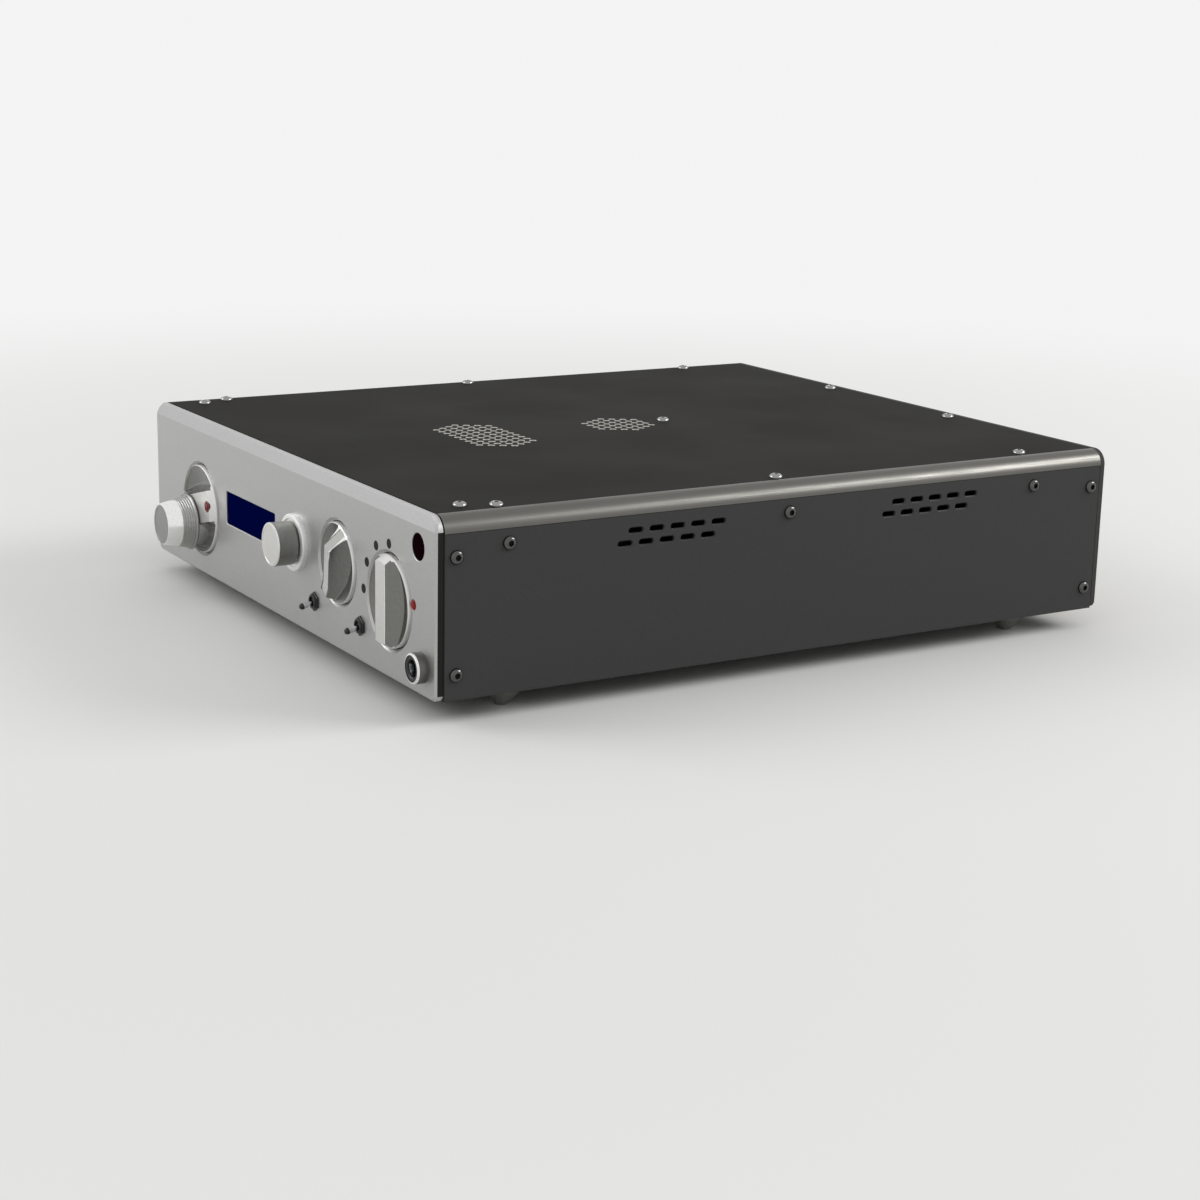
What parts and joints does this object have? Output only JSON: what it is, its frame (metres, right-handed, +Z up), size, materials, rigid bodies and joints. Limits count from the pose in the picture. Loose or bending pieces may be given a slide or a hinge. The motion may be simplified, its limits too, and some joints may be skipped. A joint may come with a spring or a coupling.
{
  "type": "preamplifier",
  "caption": "Low metal-cased audio preamplifier with dished rotary dials, a display window, toggles, a headphone socket, vented top and cone feet.",
  "frame": {"origin": "centre of the whole object's footprint, at the foot tips", "axes": "+X to the right seen from the front, +Y from the front to the back, +Z up"},
  "size_m": [0.283, 0.3468, 0.0795],
  "materials": {
    "front_silver": "satin anodised",
    "cover_charcoal": "satin anodised",
    "rail_grey": "brushed anodised",
    "chassis_steel": "zinc plated",
    "knob_silver": "polished",
    "foot_silver": "turned",
    "screw_steel": "plated",
    "control_can": "pressed",
    "toggle_black": "moulded",
    "display_glass": "clear",
    "display_black": "moulded",
    "receiver_red": "moulded",
    "lamp_red": "moulded",
    "board_green": "coated",
    "socket_ceramic": "glazed",
    "tube_glass": "clear",
    "capacitor_sleeve": "shrunk sleeve",
    "winding_tape": "wound",
    "gilt": "polished",
    "socket_black": "moulded"
  },
  "bodies": {
    "case": {"front_plate": "front_silver", "front_chassis": "chassis_steel", "front_pillars": "chassis_steel", "top_plate": "cover_charcoal", "right_side_plate": "cover_charcoal", "left_side_plate": "cover_charcoal", "right_corner_rail": "rail_grey", "left_corner_rail": "rail_grey", "bottom_tray": "cover_charcoal", "rear_panel": "cover_charcoal", "front_left_foot": "foot_silver", "front_right_foot": "foot_silver", "rear_left_foot": "foot_silver", "rear_right_foot": "foot_silver", "foot_screws": "screw_steel", "side_screws": "screw_steel", "top_screws": "screw_steel", "volume_control": "control_can", "balance_collar": "knob_silver", "balance_control": "control_can", "input_switch": "control_can", "mode_switch": "control_can", "power_lamp": "lamp_red", "left_toggle_body": "control_can", "right_toggle_body": "control_can", "display_window": "display_glass", "display_module": "display_black", "receiver_window": "receiver_red", "receiver_module": "display_black", "headphone_collar": "knob_silver", "headphone_jack": "socket_black", "main_board": "board_green", "board_standoffs": "chassis_steel", "tube_sockets": "socket_ceramic", "left_tube": "tube_glass", "right_tube": "tube_glass", "rear_tube": "tube_glass", "capacitors": "capacitor_sleeve", "transformer": "winding_tape", "transformer_clamp": "chassis_steel", "heatsink": "cover_charcoal", "input_board": "board_green", "phono_sockets": "gilt", "balanced_sockets": "chassis_steel", "mains_inlet": "socket_black", "inlet_blades": "screw_steel", "earth_terminal": "gilt"},
    "volume_dial": {"volume_disc": "knob_silver", "volume_lamp": "lamp_red", "volume_shaft": "chassis_steel"},
    "volume_finger": {"volume_finger_knob": "knob_silver"},
    "balance": {"balance_knob": "knob_silver", "balance_shaft": "chassis_steel"},
    "input_selector": {"input_selector_disc": "knob_silver", "input_selector_shaft": "chassis_steel"},
    "mode_selector": {"mode_selector_disc": "knob_silver", "mode_selector_shaft": "chassis_steel"},
    "left_toggle": {"left_toggle_lever": "toggle_black"},
    "right_toggle": {"right_toggle_lever": "toggle_black"}
  },
  "joints": [
    {"name": "volume_turn", "type": "hinge", "parent": "case", "child": "volume_dial", "pos_m": [-0.0868, -0.15675, 0.038], "axis": [0, -1, 0], "range_deg": [-75, 225]},
    {"name": "volume_finger_spin", "type": "hinge", "parent": "volume_dial", "child": "volume_finger", "pos_m": [-0.09256, -0.15675, 0.03128], "axis": [0, -1, 0], "continuous": true},
    {"name": "balance_turn", "type": "hinge", "parent": "case", "child": "balance", "pos_m": [0.0162, -0.15675, 0.0439], "axis": [0, -1, 0], "range_deg": [-150, 150]},
    {"name": "input_select", "type": "hinge", "parent": "case", "child": "input_selector", "pos_m": [0.056, -0.15675, 0.0438], "axis": [0, -1, 0], "range_deg": [0, 120]},
    {"name": "mode_select", "type": "hinge", "parent": "case", "child": "mode_selector", "pos_m": [0.1018, -0.15675, 0.0388], "axis": [0, -1, 0], "range_deg": [0, 90]},
    {"name": "left_toggle_flip", "type": "hinge", "parent": "case", "child": "left_toggle", "pos_m": [0.0345, -0.15515, 0.0234], "axis": [-1, 0, 0], "range_deg": [0, 24]},
    {"name": "right_toggle_flip", "type": "hinge", "parent": "case", "child": "right_toggle", "pos_m": [0.077, -0.15515, 0.0234], "axis": [-1, 0, 0], "range_deg": [0, 24]}
  ]
}
